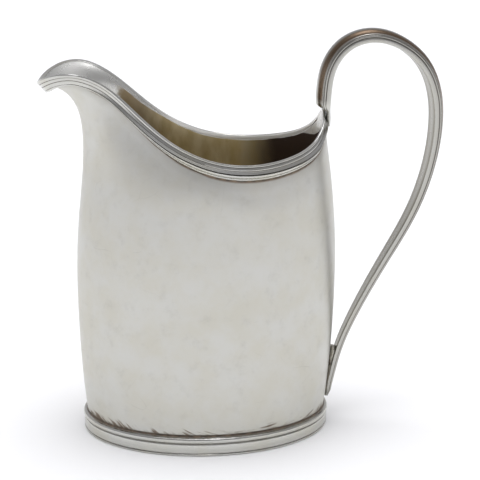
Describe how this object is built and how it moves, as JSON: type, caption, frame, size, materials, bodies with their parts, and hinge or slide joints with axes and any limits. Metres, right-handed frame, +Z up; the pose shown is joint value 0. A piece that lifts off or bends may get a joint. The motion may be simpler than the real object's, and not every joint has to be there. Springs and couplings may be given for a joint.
{
  "type": "cream jug",
  "caption": "Oval silver cream jug: a tall wall drawn out to a wide pouring spout, a reeded rim, a moulded foot and a reeded strap handle looped high over the back.",
  "frame": {"origin": "middle of the bottom of the bounding box, on the surface the foot rests on; the middle of the foot is 10.7 mm from it towards -X", "axes": "+X towards the handle, -X towards the spout, +Z up; the jug is symmetric about the XZ plane"},
  "size_m": [0.1104, 0.052, 0.1122],
  "materials": {
    "wall_silver": "old polished silver sheet with fine scratches, tarnished dark inside",
    "base_silver": "worn and lightly tarnished silver",
    "wire_silver": "polished drawn silver wire, darker in its grooves",
    "strap_silver": "polished drawn silver strap, brown tarnish between its reeds",
    "old_solder": "dull, pitted, darkened silver solder"
  },
  "bodies": {
    "root": {"body_shell": "wall_silver", "base_plate": "base_silver", "foot_wire": "wire_silver", "rim_wire": "wire_silver", "handle_strap": "strap_silver", "heel_solder": "old_solder"}
  },
  "joints": []
}
